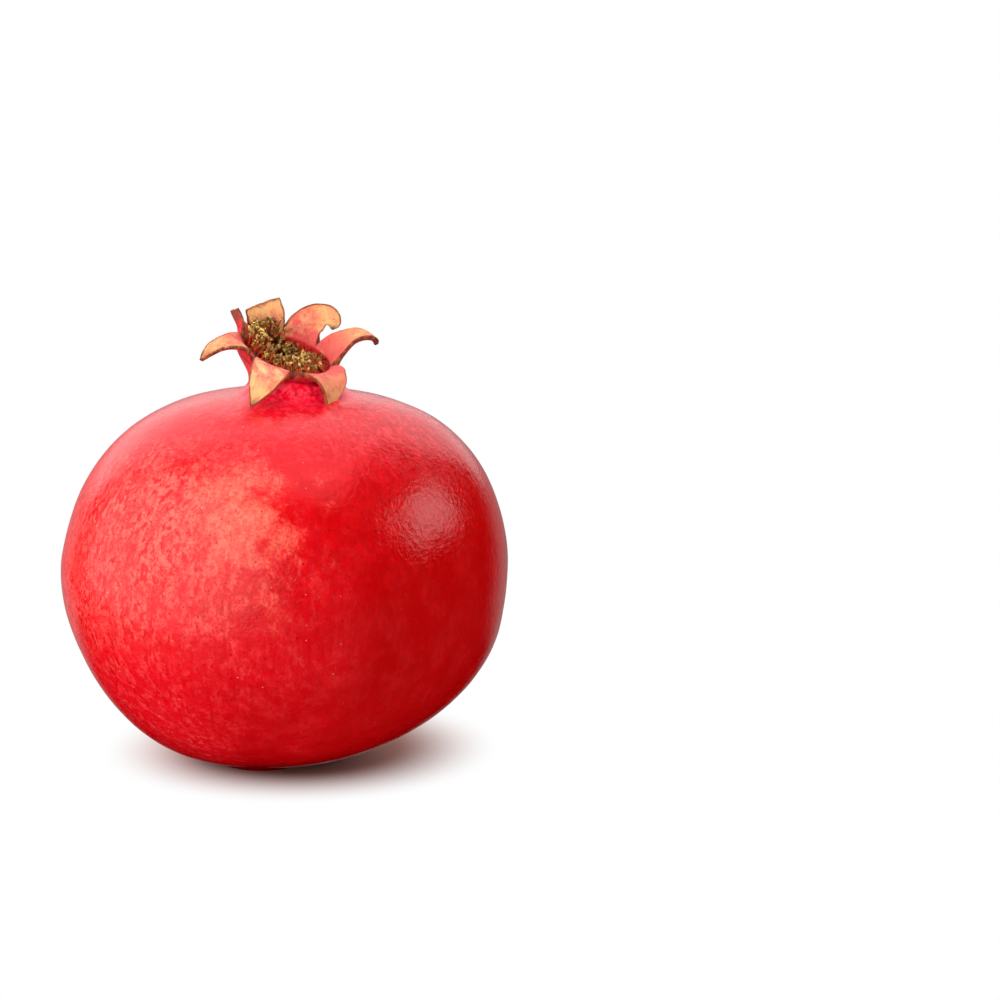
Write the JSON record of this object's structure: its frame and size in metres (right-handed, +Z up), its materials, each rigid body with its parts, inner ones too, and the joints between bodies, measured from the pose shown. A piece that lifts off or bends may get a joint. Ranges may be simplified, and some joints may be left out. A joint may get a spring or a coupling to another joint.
{
  "type": "pomegranate",
  "caption": "Whole ripe pomegranate resting on its stem end, with an open dried calyx crown, curled sepals and a ring of dried stamens on top.",
  "frame": {"origin": "middle of the bounding box's underside, on the plane that the fruit rests on", "axes": "+Z up through the calyx crown, +X to the right and -Y towards the front, where the two folded sepals are"},
  "size_m": [0.0952, 0.0942, 0.0993],
  "materials": {
    "rind": "satin, waxy",
    "stamens": "dry, matte",
    "stem": "dry, matte"
  },
  "bodies": {
    "root": {"rind": "rind", "stamens": "stamens", "stem_stub": "stem"}
  },
  "joints": []
}
